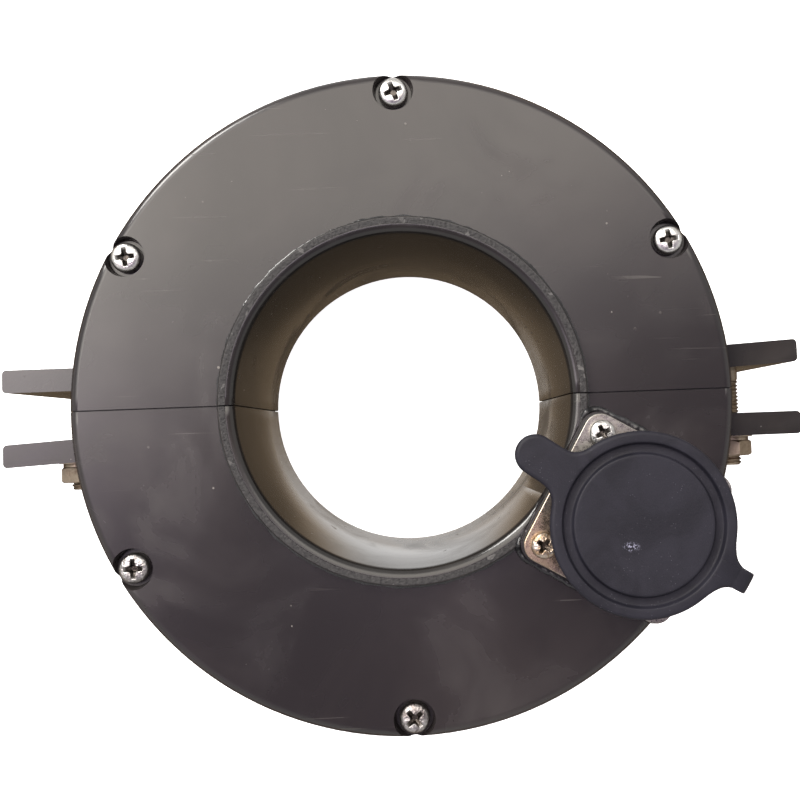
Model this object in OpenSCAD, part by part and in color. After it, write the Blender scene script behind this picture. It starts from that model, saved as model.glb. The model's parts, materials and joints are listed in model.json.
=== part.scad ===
// Split-core ring current transformer: two half-ring housings clamped round
// a round window, with a square-flange connector under a rubber dust cap.
// Back face on z = 0, window axis on +Z, split plane on y = 0. Millimetres.

/* [Ring] */
// Radius of the window that the conductor passes through
bore_r = 50; // [48:0.5:51]
// Outer radius of the housing
body_r = 100; // [99.5:0.5:102]
// Depth of the moulded tray behind the cover
case_h = 71; // [70:0.5:72]
// Thickness of the front cover
cover_t = 6; // [5.5:0.5:6.5]
// Height of the raised collar above the cover
collar_h = 3; // [2:0.5:3.5]
// Wall thickness of the window tube and its collar
tube_t = 5; // [4.5:0.25:5]
// Wall thickness of the outer skirt of the tray
wall_t = 3.5; // [3:0.25:4]
// Thickness of the tray floor
floor_t = 4; // [3:0.5:5]
// Gap between the two halves, taken up by the split gaskets
split_gap = 0.4; // [0.3:0.05:0.6]
// Radius of the rounded front rim of the cover
rim_round = 3; // [2:0.5:3.5]

/* [Clamp ears] */
// Radius that the ears reach
ear_reach = 122; // [120:0.5:124]
// Thickness of an ear
ear_t = 7; // [6.5:0.25:7.5]
// Distance of the bolt axis from the window axis
bolt_x = 110.4; // [110:0.5:112]
// Height of the bolt axis above the back face
bolt_z = 37; // [30:1:42]
// Radius of the clamp bolt
bolt_r = 4; // [3:0.5:4]

/* [Cover screws] */
// Pitch radius of the cover screws
screw_pitch_r = 94.5; // [94:0.25:95.5]
// Radius of the screw pockets where they open on the front face
pocket_r = 6.2; // [5.5:0.1:6.4]
// Depth of the screw pockets
pocket_d = 4; // [3.5:0.25:4]
// Radius of the pan heads
pan_r = 4.6; // [4.3:0.1:4.8]

/* [Connector] */
// Distance of the connector axis from the window axis
conn_r = 74.2; // [74:0.1:74.6]
// Half width of the square flange
flange_h = 23.8; // [23.4:0.1:24]
// Half spacing of the flange screws
flange_s = 18.3; // [18:0.1:18.4]
// Corner radius of the flange
flange_c = 5; // [4:0.5:6]
// Outer radius of the connector barrel
barrel_r = 20.4; // [20:0.1:20.5]
// Height of the barrel rim above the back face
barrel_top = 101.2; // [100:0.2:101.4]

/* [Dust cap] */
// Radius of the cap's brim
cap_r = 25.4; // [25:0.1:25.6]
// Height of the cap's top above the back face
cap_top = 105; // [104.6:0.2:105.4]
// Radius of the raised central disc
disc_r = 19.2; // [18.6:0.1:19.4]
// Outer radius of the groove round the disc
groove_r = 22.2; // [21.8:0.1:22.6]
// Distance of the pull tab's tip from the cap's centre
tab_reach = 40.4; // [38:0.2:41]
// Half width of the pull tab
tab_w = 5.6; // [5:0.1:6]

/* [Hidden] */
$fn = 128;
e = 0.01;
top_z = case_h + cover_t;            // front face of the covers
collar_z = top_z + collar_h;         // top of the collar
tube_r = bore_r + tube_t;            // outside of the window tube
skirt_r = body_r - wall_t;           // inside of the outer skirt
g = split_gap / 2;                   // half of the split gap
conn_a = -30;                        // direction of the connector
cx = conn_r * cos(conn_a);
cy = conn_r * sin(conn_a);
boss_h = flange_h + 0.6;             // half width of the connector boss
boss_top = top_z + 4.6;
gasket_t = 0.8;
flange_z = boss_top + gasket_t;
flange_t = 2.5;
flange_top = flange_z + flange_t;
core_r0 = 64; core_r1 = 82; core_z0 = 14; core_z1 = 56;
tape = 1;                            // tape over the bare core
wind = 4;                            // build of the secondary winding
over = 0.6;                          // outer tape on the winding
wind_back = 13;                      // winding stops this far from the split
end_wall = 3;                        // wall that closes each half's ends
pot_z = 64;                          // level of the potting
upper_screws = [29.2, 90, 150.8];
lower_screws = [210, 270];
cap_in = barrel_r + 0.45;            // inside of the cap's skirt
cap_out = cap_in + 1.8;
cap_floor = barrel_top + 0.4;        // underside of the cap's crown
strap_a = -31.5;                     // direction of the strap from the cap
tab_a = 145;                         // direction of the pull tab
strap_w = 3;                         // half width of the strap
ring_out = 21.9;

function arc(x, y, r, a0, a1, n = 8) =
    [for (i = [0:n]) [x + r * cos(a0 + (a1 - a0) * i / n),
                      y + r * sin(a0 + (a1 - a0) * i / n)]];

// half of the space: s = 1 keeps y > d, s = -1 keeps y < -d
module half_space(s, d = 0) {
    translate([-150, s > 0 ? d : -160 - d, -20]) cube([300, 160, 160]);
}
module keep_half(s, d = 0) {
    intersection() { children(); half_space(s, d); }
}
module at_conn() { translate([cx, cy, 0]) rotate([0, 0, conn_a]) children(); }
module at_pitch(list, r = screw_pitch_r) {
    for (a = list) rotate([0, 0, a]) translate([r, 0, 0]) children();
}
// square plate with round corners, centred, on exact primitives
module round_plate(h, r, t) {
    linear_extrude(t) polygon(concat(
        arc(h - r, h - r, r, 0, 90), arc(-h + r, h - r, r, 90, 180),
        arc(-h + r, -h + r, r, 180, 270), arc(h - r, -h + r, r, 270, 360)));
}
module tube(r1, r0, h) {
    difference() {
        cylinder(r = r1, h = h);
        translate([0, 0, -1]) cylinder(r = r0, h = h + 2);
    }
}
module ring_section(r0, r1, z0, z1) {
    rotate_extrude() polygon([[r0, z0], [r1, z0], [r1, z1], [r0, z1]]);
}
module pan_head(r, h) {
    rotate_extrude() polygon(concat([[0, 0], [r, 0]],
        arc(r - h * 0.62, h * 0.38, h * 0.62, 0, 80, 6), [[0, h]]));
}
module cross_recess(w, d) {
    for (a = [45, 135]) rotate([0, 0, a])
        translate([-w, -w * 0.2, -d]) cube([2 * w, w * 0.4, d + 1]);
    translate([0, 0, -d]) cylinder(r = w * 0.4, h = d + 1, $fn = 24);
}

// tray of one half: floor, window tube with collar, outer skirt
module tray_profile() {
    rotate_extrude() polygon(concat(
        [[bore_r, 1], [bore_r + 1, 0]],
        arc(body_r - 2, 2, 2, 270, 360, 5),
        [[body_r, case_h], [skirt_r, case_h], [skirt_r, floor_t],
         [tube_r, floor_t], [tube_r, collar_z - 0.3],
         [tube_r - 0.3, collar_z]],
        arc(bore_r + 2.6, collar_z - 2.6, 2.6, 90, 180, 6)));
}
// one ear with its root fillets, seen along the window axis; y0 is the
// side nearest the split, and the outline starts inside the skirt
root_r = 1.65;
function wall_x(y) = sqrt(body_r * body_r - y * y) - 0.15;
module ear_outline(y0, splay) {
    y1 = y0 + ear_t;
    xa = wall_x(y0 - root_r);
    xb = wall_x(y1 + root_r);
    n = ear_reach - 1.3;
    rise = (n - body_r - 1) * tan(splay);
    polygon(concat(
        [[97.4, y0 - root_r]],
        arc(xa + root_r, y0 - root_r, root_r, 180, 90, 5),
        arc(n, y0 + 1.3 + rise, 1.3, 270 + splay, 360 + splay, 4),
        arc(n, y1 - 1.3 + rise, 1.3, splay, 90 + splay, 4),
        arc(xb + root_r, y1 + root_r, root_r, 270, 180, 5),
        [[97.4, y1 + root_r]]));
}
// sx, sy pick the corner; bolt seat cut square to the bolt
module ear(sx, sy, y0, splay, hex_pocket) {
    difference() {
        scale_xy(sx, sy) linear_extrude(case_h) ear_outline(y0, splay);
        scale_xy(sx, sy) translate([bolt_x, 0, bolt_z]) rotate([-90, 0, 0]) {
            translate([0, 0, -1]) cylinder(r = bolt_r + 0.25, h = 40, $fn = 48);
            if (hex_pocket)
                translate([0, 0, y0 + 3]) rotate([0, 0, 30])
                    cylinder(r = 7.65, h = 20, $fn = 6);
            else
                translate([0, 0, seat_y(y0, splay)]) cylinder(r = 8.6, h = 20, $fn = 64);
        }
    }
}
module scale_xy(sx, sy) {
    mirror([sx < 0 ? 1 : 0, 0, 0]) mirror([0, sy < 0 ? 1 : 0, 0]) children();
}
function seat_y(y0, splay) = y0 + ear_t - 0.15 + (bolt_x - 8 - body_r) * tan(splay);

ur_y = 6.6; ul_y = 6.5; ll_y = 8.2; lr_y = 7.6; splay_a = 3;
nut_y_left = seat_y(ll_y, splay_a);
nut_y_right = seat_y(lr_y, 0);
head_y_left = ul_y + 3;
head_y_right = ur_y + 3;

module end_walls(s) {
    for (sx = [-1, 1]) difference() {
        translate([sx > 0 ? tube_r - 1 : -body_r - 4, s > 0 ? g : -g - end_wall, 1])
            cube([body_r - tube_r + 5, end_wall, case_h - 1]);
        ring_section(core_r0 - 0.2, core_r1 + 0.2, core_z0 - 0.2, core_z1 + 0.2);
    }
}
module posts(list) {
    difference() {
        at_pitch(list) translate([0, 0, 1]) cylinder(r = 5.8, h = case_h - 1.5, $fn = 64);
        tube(body_r + 20, skirt_r + 1.5, case_h + 5);
    }
}
module case_half(s, list) {
    difference() {
        union() {
            keep_half(s, g) tray_profile();
            intersection() {
                end_walls(s);
                translate([0, 0, -1]) cylinder(r = skirt_r + 1.5, h = case_h + 1);
            }
            posts(list);
        }
        at_pitch(list) translate([0, 0, case_h - 11.5]) cylinder(r = 3.4, h = 12, $fn = 48);
    }
}
module upper_case() {
    color([0.09, 0.085, 0.085]) union() {
        case_half(1, upper_screws);
        ear(1, 1, ur_y, splay_a, true);
        ear(-1, 1, ul_y, 0, true);
    }
}
module lower_case() {
    color([0.09, 0.085, 0.085]) difference() {
        union() {
            case_half(-1, lower_screws);
            ear(-1, -1, ll_y, splay_a, false);
            ear(1, -1, lr_y, 0, false);
        }
        // the collar is cut down where the connector boss crosses it
        at_conn() translate([-boss_h - 0.1, -boss_h - 0.1, top_z])
            cube([2 * boss_h + 0.2, 2 * boss_h + 0.2, 20]);
    }
}

module cover_profile() {
    rotate_extrude() polygon(concat(
        [[tube_r + 0.2, case_h], [body_r, case_h]],
        arc(body_r - rim_round, top_z - rim_round, rim_round, 0, 90, 7),
        [[tube_r + 0.2, top_z]]));
}
module pocket_cuts(list) {
    at_pitch(list) {
        translate([0, 0, case_h - 1]) cylinder(r = 2.7, h = 20, $fn = 48);
        translate([0, 0, top_z - pocket_d])
            cylinder(r1 = pocket_r - 0.7, r2 = pocket_r + 0.7, h = 2 * pocket_d, $fn = 64);
    }
}
module upper_cover() {
    color([0.13, 0.12, 0.12]) difference() {
        keep_half(1, g) cover_profile();
        pocket_cuts(upper_screws);
    }
}
module lower_cover() {
    color([0.13, 0.12, 0.12]) difference() {
        union() {
            keep_half(-1, g) cover_profile();
            // raised square boss under the connector flange
            intersection() {
                at_conn() translate([0, 0, top_z - 1]) round_plate(boss_h, 5.6, boss_top - top_z + 1);
                difference() {
                    translate([0, 0, top_z - 2]) cylinder(r = body_r, h = 20);
                    translate([0, 0, top_z - 2]) cylinder(r = tube_r + 0.2, h = 2);
                }
                half_space(-1, g);
            }
        }
        translate([0, 0, top_z - 5]) cylinder(r = bore_r + 1, h = 30);
        pocket_cuts(lower_screws);
        at_conn() {
            translate([0, 0, case_h - 1]) cylinder(r = 17.9, h = 20);
            for (x = [-1, 1], y = [-1, 1]) translate([x * flange_s, y * flange_s, case_h + 1.5])
                cylinder(r = 2, h = 20, $fn = 32);
        }
    }
}
// flat seals between the two halves, one each side of the window
module split_gaskets() {
    color([0.05, 0.05, 0.05]) for (sx = [-1, 1]) difference() {
        translate([sx > 0 ? bore_r + 1.2 : -body_r + 1.2, -g, 1.2])
            cube([body_r - bore_r - 2.4, 2 * g, top_z - 2.4]);
        translate([sx > 0 ? core_r0 - 0.3 : -core_r1 - 0.3, -1, core_z0 - 0.3])
            cube([core_r1 - core_r0 + 0.6, 2, core_z1 - core_z0 + 0.6]);
        translate([sx > 0 ? tube_r - 0.1 : -tube_r - 0.4, -1, case_h - 0.3]) cube([0.5, 2, 20]);
    }
}

module lower_core() {
    color([0.42, 0.42, 0.44]) keep_half(-1) ring_section(core_r0, core_r1, core_z0, core_z1);
}
module upper_core() {
    color([0.42, 0.42, 0.44]) keep_half(1) ring_section(core_r0, core_r1, core_z0, core_z1);
}
module wrap(r0, r1, z0, z1, t) {
    difference() {
        ring_section(r0 - t, r1 + t, z0 - t, z1 + t);
        ring_section(r0, r1, z0, z1);
    }
}
module core_tape(s) { keep_half(s, g + end_wall) wrap(core_r0, core_r1, core_z0, core_z1, tape); }
module lower_core_tape() { color([0.85, 0.8, 0.62]) core_tape(-1); }
module upper_core_tape() { color([0.85, 0.8, 0.62]) core_tape(1); }
module secondary_winding() {
    color([0.72, 0.36, 0.16]) keep_half(-1, wind_back)
        wrap(core_r0 - tape, core_r1 + tape, core_z0 - tape, core_z1 + tape, wind);
}
module winding_tape() {
    w = tape + wind;
    color([0.9, 0.86, 0.7]) difference() {
        keep_half(-1, wind_back) wrap(core_r0 - w, core_r1 + w, core_z0 - w, core_z1 + w, over);
        leads_cut();
    }
}
module potting(s, list) {
    t = tape + 0.02;
    difference() {
        keep_half(s, g + end_wall) ring_section(tube_r, skirt_r, floor_t, pot_z);
        posts(list);
        ring_section(core_r0 - t, core_r1 + t, core_z0 - t, core_z1 + t);
        at_pitch(list) translate([0, 0, case_h - 12]) cylinder(r = 3.5, h = 20, $fn = 48);
    }
}
module upper_potting() { color([0.11, 0.1, 0.1]) potting(1, upper_screws); }
module lower_potting() {
    w = tape + wind + over + 0.02;
    color([0.11, 0.1, 0.1]) difference() {
        potting(-1, lower_screws);
        keep_half(-1, wind_back) ring_section(core_r0 - w, core_r1 + w, core_z0 - w, core_z1 + w);
        leads_cut();
    }
}

module screw_inserts() {
    color([0.78, 0.62, 0.3]) at_pitch(concat(upper_screws, lower_screws))
        translate([0, 0, case_h - 11.5]) tube(3.4, 2.5, 11, $fn = 48);
}
module cover_screws() {
    color([0.82, 0.81, 0.78]) at_pitch(concat(upper_screws, lower_screws)) difference() {
        union() {
            translate([0, 0, top_z - pocket_d]) pan_head(pan_r, 3.6);
            translate([0, 0, case_h - 9]) cylinder(r = 2.5, h = cover_t - pocket_d + 9.1, $fn = 48);
        }
        translate([0, 0, top_z - pocket_d + 3.6]) cross_recess(2.9, 2);
    }
}

module along_bolt(side, y) {
    translate([side * bolt_x, y, bolt_z]) rotate([90, 0, 0]) children();
}
module hex(r, h) { cylinder(r = r, h = h, $fn = 6); }
module clamp_bolts() {
    color([0.72, 0.68, 0.6])
    for (b = [[-1, head_y_left, nut_y_left], [1, head_y_right, nut_y_right]])
        along_bolt(b[0], b[1]) {
            difference() {
                translate([0, 0, -5.3]) rotate([0, 0, 30]) intersection() {
                    hex(7.5, 5.3);
                    rotate_extrude($fn = 64) polygon([[0, 0], [6.6, 0], [7.6, 0.6], [7.6, 5.3], [0, 5.3]]);
                }
            }
            translate([0, 0, -0.1]) rotate_extrude($fn = 64) polygon([[0, 0], [bolt_r, 0],
                [bolt_r, b[1] + 24.2], [bolt_r - 0.8, b[1] + 25.1], [0, b[1] + 25.1]]);
        }
}
module plain_washers() {
    color([0.75, 0.73, 0.68]) for (b = [[-1, nut_y_left], [1, nut_y_right]])
        along_bolt(b[0], -b[1]) tube(8, bolt_r + 0.2, 1, $fn = 64);
}
module spring_washers() {
    color([0.6, 0.58, 0.54]) for (b = [[-1, nut_y_left], [1, nut_y_right]])
        along_bolt(b[0], -b[1] - 1) difference() {
            tube(6.6, bolt_r + 0.15, 1.2, $fn = 64);
            rotate([0, 0, 200]) translate([3, -0.5, -1]) cube([6, 1, 4]);
        }
}
module clamp_nuts() {
    color([0.62, 0.52, 0.42]) for (b = [[-1, nut_y_left], [1, nut_y_right]])
        along_bolt(b[0], -b[1] - 2.2) difference() {
            rotate([0, 0, 20]) intersection() {
                hex(7.5, 5.2);
                rotate_extrude($fn = 64) polygon([[0, 0], [6.6, 0], [7.7, 0.5], [7.7, 4.6], [6.6, 5.2], [0, 5.2]]);
            }
            translate([0, 0, -1]) cylinder(r = bolt_r, h = 10, $fn = 64);
        }
}

// bead of sealant in the corner between the collar and the covers
module collar_sealant() {
    color([0.07, 0.07, 0.07]) difference() {
        for (s = [-1, 1]) keep_half(s, g)
            rotate_extrude() polygon(concat([[tube_r, top_z]],
                arc(tube_r + 1.5, top_z + 1.5, 1.5, 270, 180, 5)));
        at_conn() translate([-boss_h - 0.1, -boss_h - 0.1, top_z - 1])
            cube([2 * boss_h + 0.2, 2 * boss_h + 0.2, 20]);
    }
}

module flange_holes(r, z, h) {
    for (x = [-1, 1], y = [-1, 1]) translate([x * flange_s, y * flange_s, z])
        cylinder(r = r, h = h, $fn = 32);
}
module connector_gasket() {
    color([0.06, 0.06, 0.06]) at_conn() difference() {
        translate([0, 0, boss_top]) round_plate(flange_h + 0.2, flange_c + 0.2, gasket_t);
        translate([0, 0, boss_top - 1]) cylinder(r = 17.9, h = 5);
        flange_holes(2.2, boss_top - 1, 5);
    }
}
module connector_shell() {
    color([0.75, 0.73, 0.7]) at_conn() {
        difference() {
            union() {
                translate([0, 0, flange_z]) round_plate(flange_h, flange_c, flange_t);
                translate([0, 0, flange_z]) cylinder(r = barrel_r, h = barrel_top - flange_z);
                translate([0, 0, case_h + 3]) cylinder(r = 17.6, h = flange_z - case_h - 2);
            }
            translate([0, 0, case_h]) cylinder(r = 15.8, h = 40);
            translate([0, 0, flange_z + 1.6]) cylinder(r = 18, h = 40);
            flange_holes(2.2, flange_z - 1, 5);
            for (k = [0:4]) translate([0, 0, flange_top + 5.2 + 2 * k]) rotate_extrude()
                polygon([[barrel_r - 0.6, 0], [barrel_r + 1, -1], [barrel_r + 1, 1]]);
        }
        // polarising key inside the barrel
        translate([16.9, -1.2, flange_top + 10]) cube([1.6, 2.4, barrel_top - flange_top - 11]);
    }
}
contact_pos = [[8, 0], [0, 8], [-8, 0], [0, -8]];
ins_top = flange_top + 7;
module connector_insulator() {
    color([0.1, 0.1, 0.11]) at_conn() difference() {
        union() {
            translate([0, 0, case_h + 2]) cylinder(r = 15.8, h = 14);
            translate([0, 0, flange_z + 1.6]) cylinder(r = 18, h = ins_top - flange_z - 1.6);
        }
        for (p = contact_pos) translate([p[0], p[1], case_h]) cylinder(r = 2.5, h = 40, $fn = 48);
    }
}
module insulator_ring() {
    color([0.7, 0.68, 0.65]) at_conn() translate([0, 0, ins_top]) tube(18, 16.4, 1.8);
}
module connector_contacts() {
    color([0.83, 0.68, 0.35]) at_conn() for (p = contact_pos)
        translate([p[0], p[1], case_h - 1]) difference() {
            cylinder(r = 2.5, h = ins_top - case_h + 0.6, $fn = 48);
            translate([0, 0, ins_top - case_h + 0.6 - 9]) cylinder(r = 1.6, h = 10, $fn = 32);
            translate([0, 0, -1]) cylinder(r = 1.3, h = 5, $fn = 32);
        }
}
module connector_screws() {
    color([0.83, 0.8, 0.74]) at_conn() for (x = [-1, 1], y = [-1, 1])
        translate([x * flange_s, y * flange_s, flange_top]) difference() {
            union() {
                pan_head(3.9, 2.9);
                translate([0, 0, -11]) cylinder(r = 2, h = 11.1, $fn = 32);
            }
            translate([0, 0, 2.9]) cross_recess(2.4, 1.6);
        }
}
lead_ends = [contact_pos[0], contact_pos[2]];
module leads(r, z0, z1) {
    at_conn() for (p = lead_ends) translate([p[0], p[1], z0]) cylinder(r = r, h = z1 - z0, $fn = 32);
}
module leads_cut() { leads(1.3, core_z1 + tape + wind, pot_z + 5); }
module secondary_leads() {
    color([0.75, 0.12, 0.1]) leads(1.3, core_z1 + tape + wind, case_h + 3);
}

module strap_ring() {
    color([0.16, 0.16, 0.19]) at_conn() translate([0, 0, flange_top]) tube(ring_out, barrel_r + 0.02, 2.2);
}
// Strap from the brim out, down and back to the ring round the barrel:
// a ribbon swept along a bent centre line in its own upright plane.
strap_t = 1.6;
strap_line = [[cap_r + 0.02, cap_top - 1.8], [cap_r + 6.2, cap_top - 1.8],
              [cap_r + 7.3, cap_top - 2.3], [cap_r + 7.8, cap_top - 3.4],
              [cap_r + 7.8, flange_top + 9], [cap_r + 7, flange_top + 5.2],
              [cap_r + 4.8, flange_top + 2.4], [cap_r + 1.8, flange_top + 1.3],
              [ring_out + 0.02, flange_top + 1.1]];
function unit(v) = v / norm(v);
function side(p, i) = let (d = unit(p[min(i + 1, len(p) - 1)] - p[max(i - 1, 0)])) [-d[1], d[0]];
function offs(p, d) = [for (i = [0:len(p) - 1])
    (i == 0 || i == len(p) - 1) ? p[i] + [0, d * sign(side(p, i)[1])] : p[i] + d * side(p, i)];
module cap_strap() {
    color([0.16, 0.16, 0.19]) translate([cx, cy, 0]) rotate([0, 0, strap_a])
        translate([0, strap_w, 0]) rotate([90, 0, 0]) linear_extrude(2 * strap_w)
            polygon(concat(offs(strap_line, strap_t / 2),
                [for (i = [len(strap_line) - 1:-1:0]) offs(strap_line, -strap_t / 2)[i]]));
}
module dust_cap() {
    color([0.17, 0.17, 0.21]) translate([cx, cy, 0]) difference() {
        union() {
            rotate_extrude() polygon(concat(
                [[0, cap_floor], [cap_in, cap_floor], [cap_in, flange_top + 3.6],
                 [cap_out, flange_top + 3.6], [cap_out, cap_top - 3]],
                [[cap_r - 0.4, cap_top - 3], [cap_r, cap_top - 2.6]],
                arc(cap_r - 0.5, cap_top - 0.5, 0.5, 0, 90, 3),
                arc(groove_r + 0.3, cap_top - 0.3, 0.3, 90, 180, 2),
                [[groove_r - 0.5, cap_top - 1.6], [disc_r + 0.4, cap_top - 1.6]],
                arc(disc_r - 0.3, cap_top - 0.3, 0.3, 0, 90, 2),
                [[0, cap_top]]));
            // pull tab
            rotate([0, 0, tab_a]) translate([0, 0, cap_top - 2.4]) linear_extrude(2.1)
                polygon(concat(arc(tab_reach - tab_w, 0, tab_w, -90, 90, 16),
                    arc(27.6, tab_w + 2.4, 2.4, 270, 215, 4),
                    [[cap_r - 2, tab_w + 2.2], [cap_r - 2, -tab_w - 2.2]],
                    arc(27.6, -tab_w - 2.4, 2.4, 145, 90, 4)));
            // root of the strap
            rotate([0, 0, strap_a]) translate([0, 0, cap_top - 2.6]) linear_extrude(1.6)
                polygon([[cap_r - 2, 7], [cap_r - 0.1, 6], [cap_r + 0, 3],
                         [cap_r + 0, -3], [cap_r - 0.1, -6], [cap_r - 2, -7]]);
        }
    }
}

lower_case();
upper_case();
lower_cover();
upper_cover();
split_gaskets();
lower_core();
upper_core();
lower_core_tape();
upper_core_tape();
secondary_winding();
winding_tape();
lower_potting();
upper_potting();
screw_inserts();
cover_screws();
clamp_bolts();
plain_washers();
spring_washers();
clamp_nuts();
collar_sealant();
connector_gasket();
connector_shell();
connector_insulator();
insulator_ring();
connector_contacts();
connector_screws();
secondary_leads();
strap_ring();
cap_strap();
dust_cap();
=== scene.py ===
import json
import math
import random

import bmesh
import bpy
import numpy as np
from mathutils import Matrix, Vector


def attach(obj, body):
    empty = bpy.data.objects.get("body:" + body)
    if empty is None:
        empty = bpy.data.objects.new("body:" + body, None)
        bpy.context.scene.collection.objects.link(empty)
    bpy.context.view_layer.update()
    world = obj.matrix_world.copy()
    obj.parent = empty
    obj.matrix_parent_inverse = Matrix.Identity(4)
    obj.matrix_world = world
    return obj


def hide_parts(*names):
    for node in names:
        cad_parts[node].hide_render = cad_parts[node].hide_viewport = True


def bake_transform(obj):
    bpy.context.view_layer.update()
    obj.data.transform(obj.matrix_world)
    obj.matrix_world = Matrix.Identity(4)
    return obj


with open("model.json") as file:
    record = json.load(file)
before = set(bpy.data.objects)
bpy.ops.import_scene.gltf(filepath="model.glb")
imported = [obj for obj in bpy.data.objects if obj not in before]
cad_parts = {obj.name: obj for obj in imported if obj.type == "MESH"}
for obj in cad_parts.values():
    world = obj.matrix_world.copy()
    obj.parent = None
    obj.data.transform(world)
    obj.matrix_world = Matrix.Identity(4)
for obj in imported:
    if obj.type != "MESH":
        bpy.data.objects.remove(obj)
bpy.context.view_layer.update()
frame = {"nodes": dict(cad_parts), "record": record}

scene = bpy.context.scene
MM = 0.001

# ------------------------------------------------------------------ camera
cam_data = bpy.data.cameras.new("camera")
cam_data.sensor_width = 36.0
cam_data.lens = 40.74
cam_data.shift_x = -0.05684
cam_data.shift_y = -0.01663
cam_data.clip_start = 0.01
cam_data.clip_end = 50.0
cam = bpy.data.objects.new("camera", cam_data)
scene.collection.objects.link(cam)
right = Vector((0.99914779, -0.03714584, 0.0179969))
up = Vector((0.03621192, 0.99810743, 0.04970165))
back = right.cross(up).normalized()
up = back.cross(right).normalized()
cam.matrix_world = Matrix((
    (right.x, up.x, back.x, 0.00731915),
    (right.y, up.y, back.y, -0.00990536),
    (right.z, up.z, back.z, 0.34830165),
    (0, 0, 0, 1)))
scene.camera = cam
scene.view_settings.view_transform = "Standard"
scene.view_settings.look = "None"


# --------------------------------------------------------- node shorthand
class Mat:
    """One procedural material; every helper returns an output socket."""

    def __init__(self, name):
        self.m = bpy.data.materials.new(name)
        self.m.use_nodes = True
        self.nt = self.m.node_tree
        self.nt.nodes.clear()
        self.out = self.nt.nodes.new("ShaderNodeOutputMaterial")
        self.p = self.nt.nodes.new("ShaderNodeBsdfPrincipled")
        self.nt.links.new(self.p.outputs[0], self.out.inputs["Surface"])
        tc = self.nt.nodes.new("ShaderNodeTexCoord")
        self.obj = tc.outputs["Object"]

    def set(self, **kw):
        for k, v in kw.items():
            name = {"base": "Base Color", "rough": "Roughness", "metal": "Metallic",
                    "ior": "IOR", "coat": "Coat Weight", "coat_rough": "Coat Roughness",
                    "sheen": "Sheen Weight", "sheen_rough": "Sheen Roughness",
                    "spec": "Specular IOR Level", "aniso": "Anisotropic"}[k]
            s = self.p.inputs[name]
            if hasattr(v, "is_output"):
                self.nt.links.new(v, s)
            else:
                s.default_value = (*v, 1.0) if isinstance(v, tuple) and len(v) == 3 else v
        return self

    def link(self, a, b):
        self.nt.links.new(a, b)

    def _in(self, sock, v):
        if hasattr(v, "is_output"):
            self.nt.links.new(v, sock)
        else:
            sock.default_value = v

    def mapping(self, scale=(1, 1, 1), rot=(0, 0, 0), loc=(0, 0, 0), vec=None):
        n = self.nt.nodes.new("ShaderNodeMapping")
        self.link(vec or self.obj, n.inputs["Vector"])
        n.inputs["Scale"].default_value = scale
        n.inputs["Rotation"].default_value = rot
        n.inputs["Location"].default_value = loc
        return n.outputs[0]

    def noise(self, scale, detail=3.0, rough=0.55, dist=0.0, vec=None, color=False):
        n = self.nt.nodes.new("ShaderNodeTexNoise")
        self.link(vec or self.obj, n.inputs["Vector"])
        n.inputs["Scale"].default_value = scale
        n.inputs["Detail"].default_value = detail
        n.inputs["Roughness"].default_value = rough
        n.inputs["Distortion"].default_value = dist
        return n.outputs["Color" if color else "Fac"]

    def voronoi(self, scale, feature="F1", vec=None, rand=1.0, out="Distance"):
        n = self.nt.nodes.new("ShaderNodeTexVoronoi")
        n.feature = feature
        self.link(vec or self.obj, n.inputs["Vector"])
        n.inputs["Scale"].default_value = scale
        n.inputs["Randomness"].default_value = rand
        return n.outputs[out]

    def wave(self, scale, dist=0.0, detail=2.0, vec=None, kind="BANDS", axis="X", prof="SIN"):
        n = self.nt.nodes.new("ShaderNodeTexWave")
        n.wave_type = kind
        if kind == "BANDS":
            n.bands_direction = axis
        else:
            n.rings_direction = axis
        n.wave_profile = prof
        self.link(vec or self.obj, n.inputs["Vector"])
        n.inputs["Scale"].default_value = scale
        n.inputs["Distortion"].default_value = dist
        n.inputs["Detail"].default_value = detail
        return n.outputs["Fac"]

    def rng(self, v, a, b, c, d, smooth=False):
        n = self.nt.nodes.new("ShaderNodeMapRange")
        n.interpolation_type = "SMOOTHSTEP" if smooth else "LINEAR"
        self._in(n.inputs["Value"], v)
        for k, x in (("From Min", a), ("From Max", b), ("To Min", c), ("To Max", d)):
            n.inputs[k].default_value = x
        return n.outputs[0]

    def math(self, op, a, b=0.0, c=None):
        n = self.nt.nodes.new("ShaderNodeMath")
        n.operation = op
        self._in(n.inputs[0], a)
        self._in(n.inputs[1], b)
        if c is not None:
            self._in(n.inputs[2], c)
        return n.outputs[0]

    def mix(self, f, a, b):
        n = self.nt.nodes.new("ShaderNodeMix")
        n.data_type = "RGBA"
        self._in(n.inputs[0], f)
        for s, v in ((n.inputs[6], a), (n.inputs[7], b)):
            if hasattr(v, "is_output"):
                self.link(v, s)
            else:
                s.default_value = (*v, 1.0)
        return n.outputs[2]

    def xyz(self, vec=None):
        n = self.nt.nodes.new("ShaderNodeSeparateXYZ")
        self.link(vec or self.obj, n.inputs[0])
        return n.outputs

    def radius(self):
        x, y, z = self.xyz()
        return self.math("SQRT", self.math("ADD", self.math("MULTIPLY", x, x),
                                           self.math("MULTIPLY", y, y)))

    def bump(self, h, strength=0.3, dist=0.0005, chain=None):
        n = self.nt.nodes.new("ShaderNodeBump")
        self.link(h, n.inputs["Height"])
        n.inputs["Strength"].default_value = strength
        n.inputs["Distance"].default_value = dist
        if chain is not None:
            self.link(chain, n.inputs["Normal"])
        return n.outputs[0]

    def normal(self, n):
        self.link(n, self.p.inputs["Normal"])
        return self


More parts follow.
